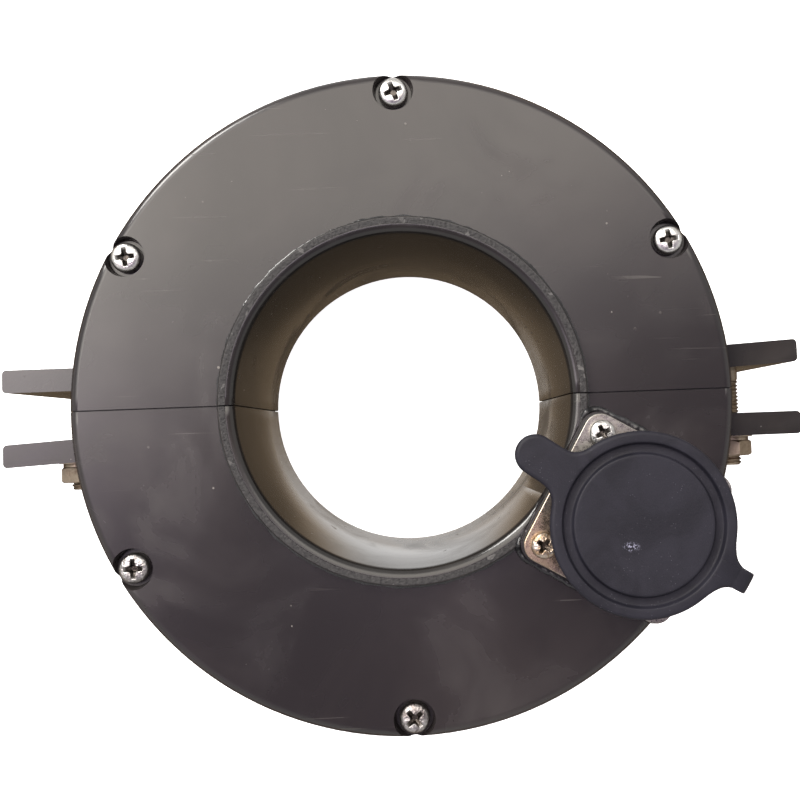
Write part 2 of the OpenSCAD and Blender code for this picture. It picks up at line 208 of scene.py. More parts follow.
# --------------------------------------------------------------- materials
def gloss_black(name, base_a, base_b, rough_lo, rough_hi, grain=False, dust=1.0):
    """Moulded gloss black: cloudy tone, smudges, hairline scratches, dust."""
    M = Mat(name)
    cloud = M.noise(14, 4, 0.6, 0.6)
    tone = M.mix(M.rng(cloud, 0.35, 0.7, 0, 1, True), base_a, base_b)
    # dust specks
    d1 = M.voronoi(260)
    gate = M.rng(M.noise(55, 3, 0.6), 0.56, 0.66, 0, 1, True)
    size = M.rng(M.noise(420, 2), 0.3, 0.7, 0.03, 0.13)
    speck = M.math("MULTIPLY", M.math("LESS_THAN", d1, size), gate)
    speck = M.math("MULTIPLY", speck, dust)
    tone = M.mix(speck, tone, (0.2, 0.185, 0.17))
    # smudges
    sm = M.noise(26, 5, 0.58, 1.0)
    sm2 = M.noise(8, 3, 0.5, 0.8, vec=M.mapping(loc=(3, 1, 7)))
    smudge = M.math("MULTIPLY", M.rng(sm, 0.42, 0.68, 0, 1, True), M.rng(sm2, 0.4, 0.65, 0.2, 1, True))
    rough = M.rng(smudge, 0, 1, rough_lo, rough_hi)
    tone = M.mix(M.math("MULTIPLY", smudge, 0.2), tone, (0.045, 0.04, 0.037))
    # hairline scratches in a few directions
    scr = None
    for k, (a, s) in enumerate(((0.5, 260), (1.25, 310), (2.2, 240), (2.75, 280))):
        v = M.mapping(scale=(16, s * 2.2, 190), rot=(0, 0, a), loc=(k * 1.7, 0, 0))
        n = M.noise(1.0, 1.0, 0.4, 0.35, vec=v)
        line = M.rng(n, 0.735, 0.76, 0, 1, True)
        gate2 = M.rng(M.noise(11 + 3 * k, 2, vec=M.mapping(loc=(k * 5.1, 2, 0))), 0.54, 0.62, 0, 1, True)
        line = M.math("MULTIPLY", line, gate2)
        scr = line if scr is None else M.math("MAXIMUM", scr, line)
    tone = M.mix(M.math("MULTIPLY", scr, 0.26), tone, (0.12, 0.11, 0.10))
    rough = M.math("MAXIMUM", rough, M.math("MULTIPLY", scr, 0.5))
    rough = M.math("MAXIMUM", rough, M.math("MULTIPLY", speck, 0.7))
    M.set(ior=1.5, spec=0.5)
    wob = M.noise(17, 2, 0.5)
    peel = M.noise(1500, 2, 0.5)
    n1 = M.bump(wob, 0.22, 0.0016)
    n2 = M.bump(peel, 0.05, 0.00015, chain=n1)
    n3 = M.bump(speck, 0.5, 0.00012, chain=n2)
    M.set(base=tone, rough=rough)
    M.normal(n3)
    return M


def case_material():
    M = gloss_black("case_black", (0.0125, 0.0115, 0.0110), (0.022, 0.019, 0.017), 0.16, 0.34)
    return M


cover_mat = gloss_black("cover_black", (0.0140, 0.0118, 0.0125), (0.024, 0.020, 0.020), 0.20, 0.42)
case_mat = case_material()


def collar_grain_material():
    M = Mat("collar_grain")
    a = M.noise(900, 4, 0.7)
    b = M.voronoi(1400)
    v = M.voronoi(620, out="Color")
    vx = M.xyz(v)[0]
    tone = M.mix(M.rng(a, 0.32, 0.7, 0, 1, True), (0.018, 0.017, 0.018), (0.054, 0.052, 0.052))
    tone = M.mix(M.rng(vx, 0.93, 0.99, 0, 0.5, True), tone, (0.17, 0.165, 0.16))
    tone = M.mix(M.rng(b, 0.0, 0.25, 0.8, 0, True), tone, (0.02, 0.019, 0.02))
    M.set(base=tone, rough=M.rng(a, 0.3, 0.7, 0.55, 0.9), spec=0.4)
    n1 = M.bump(a, 0.9, 0.00045)
    M.normal(M.bump(b, 0.6, 0.0003, chain=n1))
    return M


def sealant_material():
    M = Mat("sealant_black")
    a = M.noise(90, 4, 0.6, 0.5)
    b = M.noise(420, 3, 0.6)
    M.set(base=M.mix(M.rng(a, 0.35, 0.7, 0, 1, True), (0.009, 0.009, 0.010), (0.028, 0.028, 0.030)),
          rough=M.rng(b, 0.3, 0.7, 0.16, 0.36), spec=0.55)
    n1 = M.bump(a, 0.45, 0.0012)
    M.normal(M.bump(b, 0.25, 0.0002, chain=n1))
    return M


def rubber_material(name="cap_rubber", a_col=(0.0085, 0.0082, 0.0130), b_col=(0.0145, 0.0138, 0.0210)):
    M = Mat(name)
    cloud = M.noise(70, 5, 0.62, 0.8)
    fine = M.noise(2600, 2, 0.5)
    grit = M.voronoi(1900)
    tone = M.mix(M.rng(cloud, 0.33, 0.7, 0, 1, True), a_col, b_col)
    # pale bloom specks
    gate = M.rng(M.noise(120, 3, 0.6), 0.50, 0.64, 0, 1, True)
    pale = M.math("MULTIPLY", M.math("LESS_THAN", M.voronoi(1150), 0.11), gate)
    tone = M.mix(M.math("MULTIPLY", pale, 0.5), tone, (0.16, 0.155, 0.185))
    # one scuff on the central disc
    cx, cy = 74.2 * math.cos(math.radians(-30)), 74.2 * math.sin(math.radians(-30))
    sx, sy = (cx - 3.9) * MM, (cy - 5.6) * MM
    v = M.mapping(loc=(-sx * 1.0, -sy * 1.0, 0))
    x, y, z = M.xyz(v)
    rr = M.math("SQRT", M.math("ADD", M.math("MULTIPLY", M.math("MULTIPLY", x, x), 0.35),
                               M.math("MULTIPLY", y, y)))
    near = M.rng(rr, 0.0003, 0.0017, 1, 0, True)
    scuff = M.math("MULTIPLY", near, M.rng(M.noise(2100, 3, 0.7), 0.5, 0.62, 0, 1, True))
    top = M.math("GREATER_THAN", M.xyz()[2], 0.1046)
    scuff = M.math("MULTIPLY", scuff, top)
    tone = M.mix(scuff, tone, (0.30, 0.30, 0.40))
    M.set(base=tone, rough=M.rng(cloud, 0.3, 0.7, 0.48, 0.62), spec=0.26)
    n1 = M.bump(fine, 0.28, 0.00012)
    n2 = M.bump(grit, 0.18, 0.0001, chain=n1)
    M.normal(n2)
    return M


def nickel_material(name, a, b, lo, hi, grime=0.35, warm=True, painted_warm_reflection=False):
    M = Mat(name)
    c = M.noise(60, 5, 0.65, 0.7)
    f = M.noise(900, 4, 0.6)
    tone = M.mix(M.rng(c, 0.35, 0.68, 0, 1, True), a, b)
    if warm:
        w = M.rng(M.noise(28, 2, 0.5, vec=M.mapping(loc=(1.3, 4.2, 0.4))), 0.42, 0.62, 0, 1, True)
        tone = M.mix(M.math("MULTIPLY", w, 0.45), tone, (0.66, 0.50, 0.34))
    if painted_warm_reflection:
        # painted warm reflection: a brown patch that spreads over the flange from one corner screw
        x, y, z = M.xyz()
        ax, ay = M.math("ADD", x, -0.0393), M.math("ADD", y, 0.0438)
        dist = M.math("SQRT", M.math("ADD", M.math("MULTIPLY", ax, ax), M.math("MULTIPLY", ay, ay)))
        near = M.rng(M.math("ADD", dist, M.math("MULTIPLY", M.noise(110, 4, 0.6), 0.012)), 0.010, 0.023, 1, 0, True)
        tone = M.mix(M.math("MULTIPLY", near, 0.7), tone, (0.40, 0.29, 0.19))
    g = M.rng(M.noise(240, 6, 0.72, 1.2), 0.54, 0.72, 0, 1, True)
    tone = M.mix(M.math("MULTIPLY", g, grime), tone, (0.16, 0.12, 0.09))
    M.set(base=tone, metal=1.0, rough=M.math("ADD", M.rng(f, 0.3, 0.7, lo, hi), M.math("MULTIPLY", g, 0.25)))
    M.normal(M.bump(f, 0.12, 0.00008, chain=M.bump(c, 0.12, 0.0003)))
    return M


def zinc_material():
    M = Mat("bolt_zinc")
    c = M.noise(130, 5, 0.6, 0.6)
    f = M.noise(1200, 3, 0.6)
    tone = M.mix(M.rng(c, 0.35, 0.66, 0, 1, True), (0.24, 0.195, 0.15), (0.40, 0.33, 0.25))
    g = M.rng(M.noise(300, 6, 0.7, 1.0), 0.52, 0.7, 0, 1, True)
    tone = M.mix(M.math("MULTIPLY", g, 0.5), tone, (0.20, 0.13, 0.09))
    M.set(base=tone, metal=1.0, rough=M.math("ADD", M.rng(f, 0.3, 0.7, 0.30, 0.45), M.math("MULTIPLY", g, 0.2)))
    M.normal(M.bump(f, 0.2, 0.0001))
    return M


def seal_material():
    M = Mat("seal_black")
    a = M.noise(500, 3, 0.6)
    M.set(base=M.mix(M.rng(a, 0.35, 0.65, 0, 1), (0.008, 0.008, 0.009), (0.02, 0.02, 0.021)),
          rough=M.rng(a, 0.3, 0.7, 0.4, 0.65))
    M.normal(M.bump(a, 0.3, 0.0002))
    return M


def core_material():
    M = Mat("core_steel")
    # strip edges: concentric laminations seen on the faces
    r = M.radius()
    lam = M.wave(1.0, 0.0, 0.0, vec=M._comb(r, 2600) if hasattr(M, "_comb") else None)
    a = M.noise(200, 4, 0.6)
    tone = M.mix(lam, (0.16, 0.16, 0.17), (0.36, 0.36, 0.38))
    tone = M.mix(M.rng(a, 0.5, 0.75, 0, 0.5, True), tone, (0.25, 0.19, 0.13))
    M.set(base=tone, metal=0.9, rough=M.rng(a, 0.3, 0.7, 0.35, 0.55))
    M.normal(M.bump(lam, 0.3, 0.0002))
    return M


def _comb(self, sock, scale):
    n = self.nt.nodes.new("ShaderNodeCombineXYZ")
    self.link(self.math("MULTIPLY", sock, scale), n.inputs[0])
    return n.outputs[0]


Mat._comb = _comb


def tape_material():
    M = Mat("tape_cream")
    x, y, z = M.xyz()
    w = M.wave(60, 0.6, 1.0, axis="DIAGONAL")
    a = M.noise(600, 4, 0.6)
    tone = M.mix(M.rng(w, 0.1, 0.25, 0, 1, True), (0.42, 0.34, 0.20), (0.70, 0.62, 0.44))
    tone = M.mix(M.rng(a, 0.45, 0.7, 0, 0.4, True), tone, (0.55, 0.46, 0.30))
    M.set(base=tone, rough=M.rng(a, 0.3, 0.7, 0.4, 0.6), sheen=0.1)
    M.normal(M.bump(w, 0.4, 0.0003))
    return M


def copper_material():
    M = Mat("winding_copper")
    # turns run round the core's section, so they show as fine radial lines
    x, y, z = M.xyz()
    ang = M.math("ARCTAN2", y, x)
    lines = M.wave(1.0, 0.15, 1.0, vec=M._comb(ang, 55))
    a = M.noise(300, 4, 0.6)
    tone = M.mix(lines, (0.30, 0.10, 0.035), (0.72, 0.30, 0.11))
    tone = M.mix(M.rng(a, 0.5, 0.7, 0, 0.4, True), tone, (0.42, 0.15, 0.05))
    M.set(base=tone, metal=0.85, rough=M.rng(a, 0.3, 0.7, 0.25, 0.4), coat=0.4)
    M.normal(M.bump(lines, 0.5, 0.0004))
    return M


def resin_material():
    M = Mat("potting_black")
    a = M.noise(40, 4, 0.6, 0.7)
    v = M.voronoi(160)
    tone = M.mix(M.rng(a, 0.35, 0.7, 0, 1, True), (0.012, 0.011, 0.011), (0.03, 0.027, 0.025))
    M.set(base=tone, rough=M.rng(a, 0.3, 0.7, 0.25, 0.45))
    M.normal(M.bump(M.rng(v, 0.0, 0.15, 0, 1, True), 0.4, 0.0003))
    return M


def brass_material():
    M = Mat("brass")
    a = M.noise(250, 4, 0.6)
    x, y, z = M.xyz()
    ring = M.wave(1.0, 0.2, 1.0, vec=M._comb(z, 4000))
    M.set(base=M.mix(M.rng(a, 0.35, 0.7, 0, 1, True), (0.60, 0.42, 0.15), (0.82, 0.62, 0.28)),
          metal=1.0, rough=M.rng(a, 0.3, 0.7, 0.2, 0.36))
    M.normal(M.bump(ring, 0.15, 0.0001))
    return M


def insulator_material():
    M = Mat("insulator_black")
    a = M.noise(220, 4, 0.6)
    M.set(base=M.mix(M.rng(a, 0.35, 0.7, 0, 1, True), (0.014, 0.014, 0.016), (0.028, 0.028, 0.030)),
          rough=M.rng(a, 0.3, 0.7, 0.4, 0.55))
    M.normal(M.bump(M.noise(1800, 2), 0.15, 0.0001))
    return M


def lead_material():
    M = Mat("lead_red")
    a = M.noise(400, 3, 0.6)
    M.set(base=M.mix(M.rng(a, 0.35, 0.7, 0, 1, True), (0.42, 0.03, 0.02), (0.55, 0.06, 0.04)),
          rough=M.rng(a, 0.3, 0.7, 0.35, 0.5))
    M.normal(M.bump(a, 0.2, 0.0001))
    return M


mats = {
    "case_black": case_mat, "cover_black": cover_mat, "seal_black": seal_material(),
    "core_steel": core_material(), "tape_cream": tape_material(),
    "winding_copper": copper_material(), "potting_black": resin_material(),
    "brass": brass_material(),
    "screw_zinc": nickel_material("screw_nickel", (0.62, 0.60, 0.57), (0.80, 0.78, 0.74), 0.16, 0.30),
    "bolt_zinc": zinc_material(), "sealant_black": sealant_material(),
    # nickel_shell carries a painted warm reflection round one corner screw
    "nickel_shell": nickel_material("nickel_shell", (0.25, 0.235, 0.215), (0.47, 0.45, 0.415), 0.20, 0.36, 0.6, painted_warm_reflection=True),
    "insulator_black": insulator_material(), "lead_red": lead_material(),
    "cap_rubber": rubber_material(),
}
grain_mat = collar_grain_material()

slot_of = {s["node"]: s["material_slot"] for s in frame["record"]["subparts"]}
for node, o in frame["nodes"].items():
    o.data.materials.clear()
    o.data.materials.append(mats[slot_of[node]].m)


# -------------------------------------------------------------- mesh tools
def add_mesh(name, bm_or_data, mat, body="housing", smooth=True):
    me = bpy.data.meshes.new(name)
    if isinstance(bm_or_data, bmesh.types.BMesh):
        bm_or_data.to_mesh(me)
        bm_or_data.free()
    else:
        me.from_pydata(*bm_or_data)
        me.update()
    if smooth:
        me.polygons.foreach_set("use_smooth", [True] * len(me.polygons))
    me.materials.append(mat.m)
    o = bpy.data.objects.new(name, me)
    scene.collection.objects.link(o)
    if body:
        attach(o, body)
    return o


def lathe(profile, seg, centre=(0, 0), a0=0.0, a1=2 * math.pi):
    """Closed surface of revolution of a closed (r, z) outline, in millimetres."""
    bm = bmesh.new()
    full = abs(a1 - a0) >= 2 * math.pi - 1e-9
    n = seg if full else seg + 1
    rings = []
    for i in range(n):
        a = a0 + (a1 - a0) * i / seg
        c, s = math.cos(a), math.sin(a)
        rings.append([bm.verts.new(((centre[0] + r * c) * MM, (centre[1] + r * s) * MM, z * MM))
                      for r, z in profile])
    m = len(profile)
    for i in range(seg):
        A, B = rings[i], rings[(i + 1) % n]
        for k in range(m):
            k2 = (k + 1) % m
            bm.faces.new((A[k], B[k], B[k2], A[k2]))
    if not full:
        bm.faces.new(rings[0])
        bm.faces.new(list(reversed(rings[-1])))
    bmesh.ops.remove_doubles(bm, verts=bm.verts, dist=1e-7)
    bmesh.ops.recalc_face_normals(bm, faces=bm.faces)
    return bm


def prism(outline, z0, z1):
    bm = bmesh.new()
    lo = [bm.verts.new((x * MM, y * MM, z0 * MM)) for x, y in outline]
    hi = [bm.verts.new((x * MM, y * MM, z1 * MM)) for x, y in outline]
    bm.faces.new(list(reversed(lo)))
    bm.faces.new(hi)
    n = len(outline)
    for i in range(n):
        j = (i + 1) % n
        bm.faces.new((lo[i], lo[j], hi[j], hi[i]))
    bmesh.ops.recalc_face_normals(bm, faces=bm.faces)
    return bm


def join_bm(parts):
    out = bmesh.new()
    for b in parts:
        me = bpy.data.meshes.new("tmp")
        b.to_mesh(me)
        b.free()
        out.from_mesh(me)
        bpy.data.meshes.remove(me)
    return out


def arc(x, y, r, a0, a1, n=8):
    return [(x + r * math.cos(math.radians(a0 + (a1 - a0) * i / n)),
             y + r * math.sin(math.radians(a0 + (a1 - a0) * i / n))) for i in range(n + 1)]


# edge breaks on the moulded and plated CAD pieces
def break_edges(node, width, segs=2, angle=35):
    o = frame["nodes"][node]
    w = o.modifiers.new("weld", "WELD")
    w.merge_threshold = 2e-6
    b = o.modifiers.new("edge_break", "BEVEL")
    b.width = width * MM
    b.segments = segs
    b.limit_method = "ANGLE"
    b.angle_limit = math.radians(angle)
    b.harden_normals = False
    b.use_clamp_overlap = True
    b.miter_outer = "MITER_ARC"


# ============================================================ detail pieces
from mathutils import noise as mnoise

CX = 74.2 * math.cos(math.radians(-30))
CY = 74.2 * math.sin(math.radians(-30))


def n3(x, y, z, f):
    return mnoise.noise(Vector((x * f, y * f, z * f)))


def set_attr(o, name, values):
    a = o.data.attributes.new(name, "FLOAT", "POINT")
    a.data.foreach_set("value", np.asarray(values, np.float32))


# ---- cross-recess pan heads on a polar height field
def screw(V, Fc, REC, TARN, x0, y0, z0, R, H, L, W, D, rot, tarn, shank_r, shank_z, seed, wear=0.0):
    nt_, nr_ = 144, 38
    base = len(V)
    ca, sa = math.cos(rot), math.sin(rot)

    def recess(x, y):
        u, v = x * ca + y * sa, -x * sa + y * ca
        d = 0.0
        for a, b in ((abs(u), abs(v)), (abs(v), abs(u))):
            if a < L:
                w = W * (1.0 - 0.22 * a / L)
                dl = D * (1 - (a / L) ** 2.0)
                dw = (w / 2 - b) * 6.0
                d = max(d, min(dl, dw))
        r = math.hypot(x, y)
        d = max(d, min(D, (0.47 * L - r) * 4.5))
        return max(0.0, d)

    V.append((x0, y0, z0 + H - recess(0, 0)))
    REC.append(1.0)
    for j in range(1, nr_ + 1):
        r = R * (j / nr_) ** 0.92
        for i in range(nt_):
            a = 2 * math.pi * i / nt_
            x, y = r * math.cos(a), r * math.sin(a)
            t = min(1.0, r / R)
            z = z0 + 0.28 * H + 0.72 * H * (1 - t ** 3.2) ** (1 / 3.2)
            d = recess(x, y)
            nick = wear * 0.10 * n3(x + seed, y, seed, 1.9) + wear * 0.05 * n3(x, y + seed, seed, 4.5)
            V.append((x0 + x, y0 + y, z - d + nick))
            REC.append(min(1.0, d / (0.55 * D)))
    rows = [base + 1 + (j - 1) * nt_ for j in range(1, nr_ + 1)]
    for (r, z) in ((R, z0), (shank_r, z0 - 0.02), (shank_r, shank_z), (0.01, shank_z)):
        rows.append(len(V))
        for i in range(nt_):
            a = 2 * math.pi * i / nt_
            V.append((x0 + r * math.cos(a), y0 + r * math.sin(a), z))
            REC.append(0.0)
    for i in range(nt_):
        k = (i + 1) % nt_
        Fc.append((base, rows[0] + i, rows[0] + k))
    for A, B in zip(rows, rows[1:]):
        for i in range(nt_):
            k = (i + 1) % nt_
            Fc.append((A + i, B + i, B + k, A + k))
    Fc.append(tuple(rows[-1] + i for i in range(nt_)))
    TARN += [tarn] * (len(V) - base)


def screw_material():
    M = Mat("screw_plate")
    ra = M.nt.nodes.new("ShaderNodeAttribute")
    ra.attribute_name = "rec"
    ta = M.nt.nodes.new("ShaderNodeAttribute")
    ta.attribute_name = "tarn"
    rec, tarn = ra.outputs["Fac"], ta.outputs["Fac"]
    n = M.noise(380, 5, 0.66, 0.8)
    f = M.noise(1500, 4, 0.65)
    big = M.noise(150, 3, 0.6, 0.5)
    amount = M.math("MULTIPLY", M.rng(tarn, 0, 0.8, 0.10, 1.0), M.rng(n, 0.36, 0.62, 0.45, 1, True))
    clean = M.mix(M.rng(big, 0.35, 0.65, 0, 1, True), (0.60, 0.595, 0.575), (0.78, 0.775, 0.75))
    grey = M.mix(M.rng(f, 0.35, 0.65, 0, 1, True), (0.13, 0.11, 0.105), (0.27, 0.24, 0.23))
    brown = M.mix(M.rng(f, 0.35, 0.65, 0, 1, True), (0.24, 0.15, 0.085), (0.50, 0.36, 0.23))
    dirty = M.mix(M.rng(tarn, 0.88, 0.98, 0, 1, True), grey, brown)
    tone = M.mix(amount, clean, dirty)
    # painted shade: the cross recess darkens towards near black with its depth
    tone = M.mix(M.math("MULTIPLY", M.rng(rec, 0.05, 0.9, 0, 1, True), 0.93), tone, (0.045, 0.036, 0.03))
    rough = M.math("ADD", M.rng(f, 0.3, 0.7, 0.20, 0.34), M.math("MULTIPLY", amount, 0.16))
    M.set(base=tone, metal=1.0, rough=rough)
    M.normal(M.bump(f, 0.18, 0.0001, chain=M.bump(n, 0.15, 0.0003)))
    return M


screw_mat = screw_material()

V, Fc, REC, TARN = [], [], [], []
for ang, rot, tarn, seed, wear in ((29.2, 8, 0.10, 1, 0.2), (90, 20, 0.05, 2, 0.2), (150.8, 5, 0.16, 3, 0.5),
                                   (210, 2, 0.62, 4, 1.2), (270, 40, 0.85, 5, 1.0)):
    a = math.radians(ang)
    screw(V, Fc, REC, TARN, 94.5 * math.cos(a), 94.5 * math.sin(a), 73.0, 4.55, 3.55,
          3.0, 1.75, 2.1, math.radians(rot), tarn, 2.5, 66.0, seed * 7.3, wear)
o = add_mesh("cover_screws_detail", ([(x * MM, y * MM, z * MM) for x, y, z in V], [], Fc), screw_mat,
             "housing")
set_attr(o, "rec", REC)
set_attr(o, "tarn", TARN)
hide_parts("cover_screws")

V, Fc, REC, TARN = [], [], [], []
s_ = 18.3
ca, sa = math.cos(math.radians(-30)), math.sin(math.radians(-30))
for lx, ly, rot, tarn, seed in ((-s_, s_, 25, 0.30, 11), (-s_, -s_, 55, 1.0, 12), (s_, s_, 10, 0.4, 13), (s_, -s_, 70, 0.4, 14)):
    screw(V, Fc, REC, TARN, CX + lx * ca - ly * sa, CY + lx * sa + ly * ca, 84.9, 3.85, 2.85,
          2.45, 1.5, 1.7, math.radians(rot), tarn, 2.0, 82.0, seed * 5.1, 0.9)
o = add_mesh("connector_screws_detail", ([(x * MM, y * MM, z * MM) for x, y, z in V], [], Fc), screw_mat,
             "housing")
set_attr(o, "rec", REC)
set_attr(o, "tarn", TARN)
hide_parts("connector_screws")

# ---- granular top of the collar
gap = math.degrees(0.2 / 53.6)
for part, a0, a1 in (("upper", gap, 180 - gap), ("lower", 180 + gap, 360 - gap)):
    na, nr_ = 860, 12
    V, Fc = [], []
    for i in range(na + 1):
        a = math.radians(a0 + (a1 - a0) * i / na)
        deg = math.degrees(a)
        c, s = math.cos(a), math.sin(a)
        grain = 1.0
        if 236 < deg < 352:
            grain = 0.30
        elif deg <= 12:
            grain = 0.45
        ri = 52.6 + 0.16 * n3(c * 53, s * 53, 3.1, 0.9) + 0.12 * n3(c * 53, s * 53, 8.0, 3.0)
        ro = 54.7 + 0.10 * n3(c * 53, s * 53, 7.7, 0.8)
        for j in range(nr_ + 1):
            t = j / nr_
            r = ri + (ro - ri) * t
            x, y = r * c, r * s
            edge = min(1.0, 5 * min(t, 1 - t))
            h = 0.12 * (n3(x, y, 0.4, 1.6) + 0.35) + 0.11 * n3(x, y, 5.0, 3.6) + 0.07 * n3(x, y, 9.0, 7.5)
            z = 80.0 + grain * edge * max(0.0, h + 0.05) - (0.12 if t in (0.0, 1.0) else 0.0)
            V.append((x * MM, y * MM, z * MM))
    for i in range(na):
        for j in range(nr_):
            k = i * (nr_ + 1) + j
            Fc.append((k, k + 1, k + nr_ + 2, k + nr_ + 1))
    add_mesh("collar_top_" + part, (V, [], Fc), grain_mat, "housing")

# ---- sealant bead in the corner between collar and cover
V, Fc = [], []
for a0, a1 in ((gap, 180 - gap), (180 + gap, 360 - gap)):
    na, m = 620, 7
    b0 = len(V)
    for i in range(na + 1):
        a = math.radians(a0 + (a1 - a0) * i / na)
        c, s = math.cos(a), math.sin(a)
        w = 1.05 + 0.55 * n3(c * 55, s * 55, 1.0, 0.22) + 0.25 * n3(c * 55, s * 55, 2.0, 0.9)
        w = max(0.35, min(1.48, w))
        ring = [(54.95, 77.0 + w), (54.95, 76.95), (55.0 + w, 76.95)]
        arc_pts = [(55.0 + w * (1 - math.sin(q)), 77.0 + w * (1 - math.cos(q)))
                   for q in (math.radians(x) for x in (15, 35, 55, 75))]
        prof = [(54.95, 76.95), (55.0 + w, 76.95), *arc_pts[:], (54.95, 77.0 + w)]
        for r, z in prof:
            V.append((r * c * MM, r * s * MM, z * MM))
    m = len(prof)
    for i in range(na):
        for j in range(m):
            k, k2 = b0 + i * m + j, b0 + i * m + (j + 1) % m
            Fc.append((k, k2, k2 + m, k + m))
    Fc.append(tuple(b0 + j for j in range(m)))
    Fc.append(tuple(b0 + na * m + j for j in reversed(range(m))))
o = add_mesh("collar_sealant_bead", (V, [], Fc), mats["sealant_black"], "housing")
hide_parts("collar_sealant")

# ---- squeezed-out sealant round the connector boss
half, rc = 24.75, 5.9
path = []
for (qx, qy, q0) in ((1, 1, 0), (-1, 1, 90), (-1, -1, 180), (1, -1, 270)):
    for k in range(13):
        q = math.radians(q0 + 90 * k / 12)
        path.append((qx * (half - rc) + rc * math.cos(q), qy * (half - rc) + rc * math.sin(q),
                     math.cos(q), math.sin(q)))
pts = []
for i, p in enumerate(path):
    q = path[(i + 1) % len(path)]
    d = math.hypot(q[0] - p[0], q[1] - p[1])
    n = max(1, int(d / 0.35))
    for k in range(n):
        t = k / n
        pts.append([p[m] + (q[m] - p[m]) * t for m in range(4)])
runs, run = [], []
for lx, ly, nx, ny in pts + pts[:1]:
    x, y = CX + lx * ca - ly * sa, CY + lx * sa + ly * ca
    r = math.hypot(x, y)
    ok = 53.2 < r < 95.0 and y < -1.2
    if ok:
        run.append((x, y, nx * ca - ny * sa, nx * sa + ny * ca, r))
    if not ok and run:
        runs.append(run)
        run = []
if run:
    runs.append(run)
V, Fc = [], []
for run in runs:
    if len(run) < 12:
        continue
    b0 = len(V)
    m = 11
    for i, (x, y, nx, ny, r) in enumerate(run):
        ends = min(1.0, min(i, len(run) - 1 - i) / 7.0)
        lift = 3.0 * max(0.0, min(1.0, (56.6 - r) / 1.6))
        w = (1.45 + 0.75 * n3(x, y, 4.0, 0.16) + 0.30 * n3(x, y, 1.0, 0.6)) * (0.35 + 0.65 * ends)
        w = max(0.4, min(2.3, w))
        h = (1.25 + 0.5 * n3(x, y, 9.0, 0.25) + 0.25 * n3(x, y, 6.0, 0.8)) * (0.4 + 0.6 * ends)
        h = max(0.35, min(2.0, h))
        zb = 76.9 + lift
        for k in range(m):
            q = math.pi * k / (m - 1)
            rr = 1 + 0.06 * n3(x, y, k * 1.3, 1.1)
            ox = -0.8 + (w + 0.8) * (0.5 - 0.5 * math.cos(q)) * rr
            oz = h * math.sin(q) ** 0.8 * rr
            V.append(((x + nx * ox) * MM, (y + ny * ox) * MM, (zb + oz) * MM))
    for i in range(len(run) - 1):
        for k in range(m):
            p0, p1 = b0 + i * m + k, b0 + i * m + (k + 1) % m
            Fc.append((p0, p1, p1 + m, p0 + m))
    Fc.append(tuple(b0 + k for k in range(m)))
    Fc.append(tuple(b0 + (len(run) - 1) * m + k for k in reversed(range(m))))
add_mesh("boss_sealant_bead", (V, [], Fc), mats["sealant_black"], "housing")

# ---- dust cap as one soft moulding: brim, pull tab and strap root share one
# outline round the centre, every edge rolled over along that outline's normal
tab_side = ([(23.75, 8.9), (24.55, 7.75), (25.45, 6.85), (26.6, 6.15), (28.2, 5.7), (30.2, 5.55), (34.8, 5.55)]
            + arc(34.8, 0, 5.55, 82, 4, 16))
root_side = [(23.4, 9.75), (24.2, 7.95), (25.0, 6.5), (25.9, 5.25), (27.0, 4.2), (28.2, 3.5), (29.2, 3.15), (29.35, 2.9)]


def polar_side(side, tip):
    dr = sorted((math.degrees(math.atan2(y, x)), math.hypot(x, y)) for x, y in side)
    return [d for d, r in dr], [r for d, r in dr], tip


tab_p = polar_side(tab_side, 40.35)
root_p = polar_side(root_side, 29.4)


def reach(theta):
    """Outline radius at an angle in degrees."""
    r = 25.36
    for p, a in ((tab_p, 145.0), (root_p, -31.5)):
        d = abs((theta - a + 180) % 360 - 180)
        if d <= p[0][0]:
            r = max(r, p[2] / math.cos(math.radians(d)) if p is root_p else float(np.interp(d, [0] + p[0], [p[2]] + p[1])))
        elif d < p[0][-1]:
            r = max(r, float(np.interp(d, p[0], p[1])))
    return r


th = []
t = -180.0
while t < 180.0 - 1e-6:
    th.append(t)
    dt_ = abs((t - 145.0 + 180) % 360 - 180)
    ds_ = abs((t + 31.5 + 180) % 360 - 180)
    t += 0.09 if dt_ < 19 else (0.22 if ds_ < 22 else 1.2)
N = len(th)
out_xy = np.array([[reach(a) * math.cos(math.radians(a)), reach(a) * math.sin(math.radians(a))] for a in th])
for _ in range(3):
    out_xy = 0.5 * out_xy + 0.25 * (np.roll(out_xy, 1, 0) + np.roll(out_xy, -1, 0))
tan = np.roll(out_xy, -1, 0) - np.roll(out_xy, 1, 0)
tan /= np.linalg.norm(tan, axis=1)[:, None]
nor = np.stack([tan[:, 1], -tan[:, 0]], 1)
for _ in range(4):
    nor = 0.5 * nor + 0.25 * (np.roll(nor, 1, 0) + np.roll(nor, -1, 0))
nor /= np.linalg.norm(nor, axis=1)[:, None]
rad_out = np.linalg.norm(out_xy, axis=1)
V, Fc, rows = [], [], []
unit_xy = np.array([[math.cos(math.radians(a)), math.sin(math.radians(a))] for a in th])


def cap_row(xy, z):
    rows.append(len(V))
    zz = np.broadcast_to(np.asarray(z, float), (N,))
    for (x, y), h in zip(xy, zz):
        r = math.hypot(x, y)
        ds = abs((math.degrees(math.atan2(y, x)) + 31.5 + 180) % 360 - 180)
        if h > 103.2 and ds < 24 and r > 24.4:
            q = min(1.0, max(0.0, (r - 24.4) / 4.6))
            h -= 1.02 * q * q * (3 - 2 * q)
        h += 0.035 * n3(x, y, h, 0.16) + 0.02 * n3(x, y, h, 0.7) - 0.03 if h > 102.3 else 0.0
        V.append((CX + x, CY + y, h))


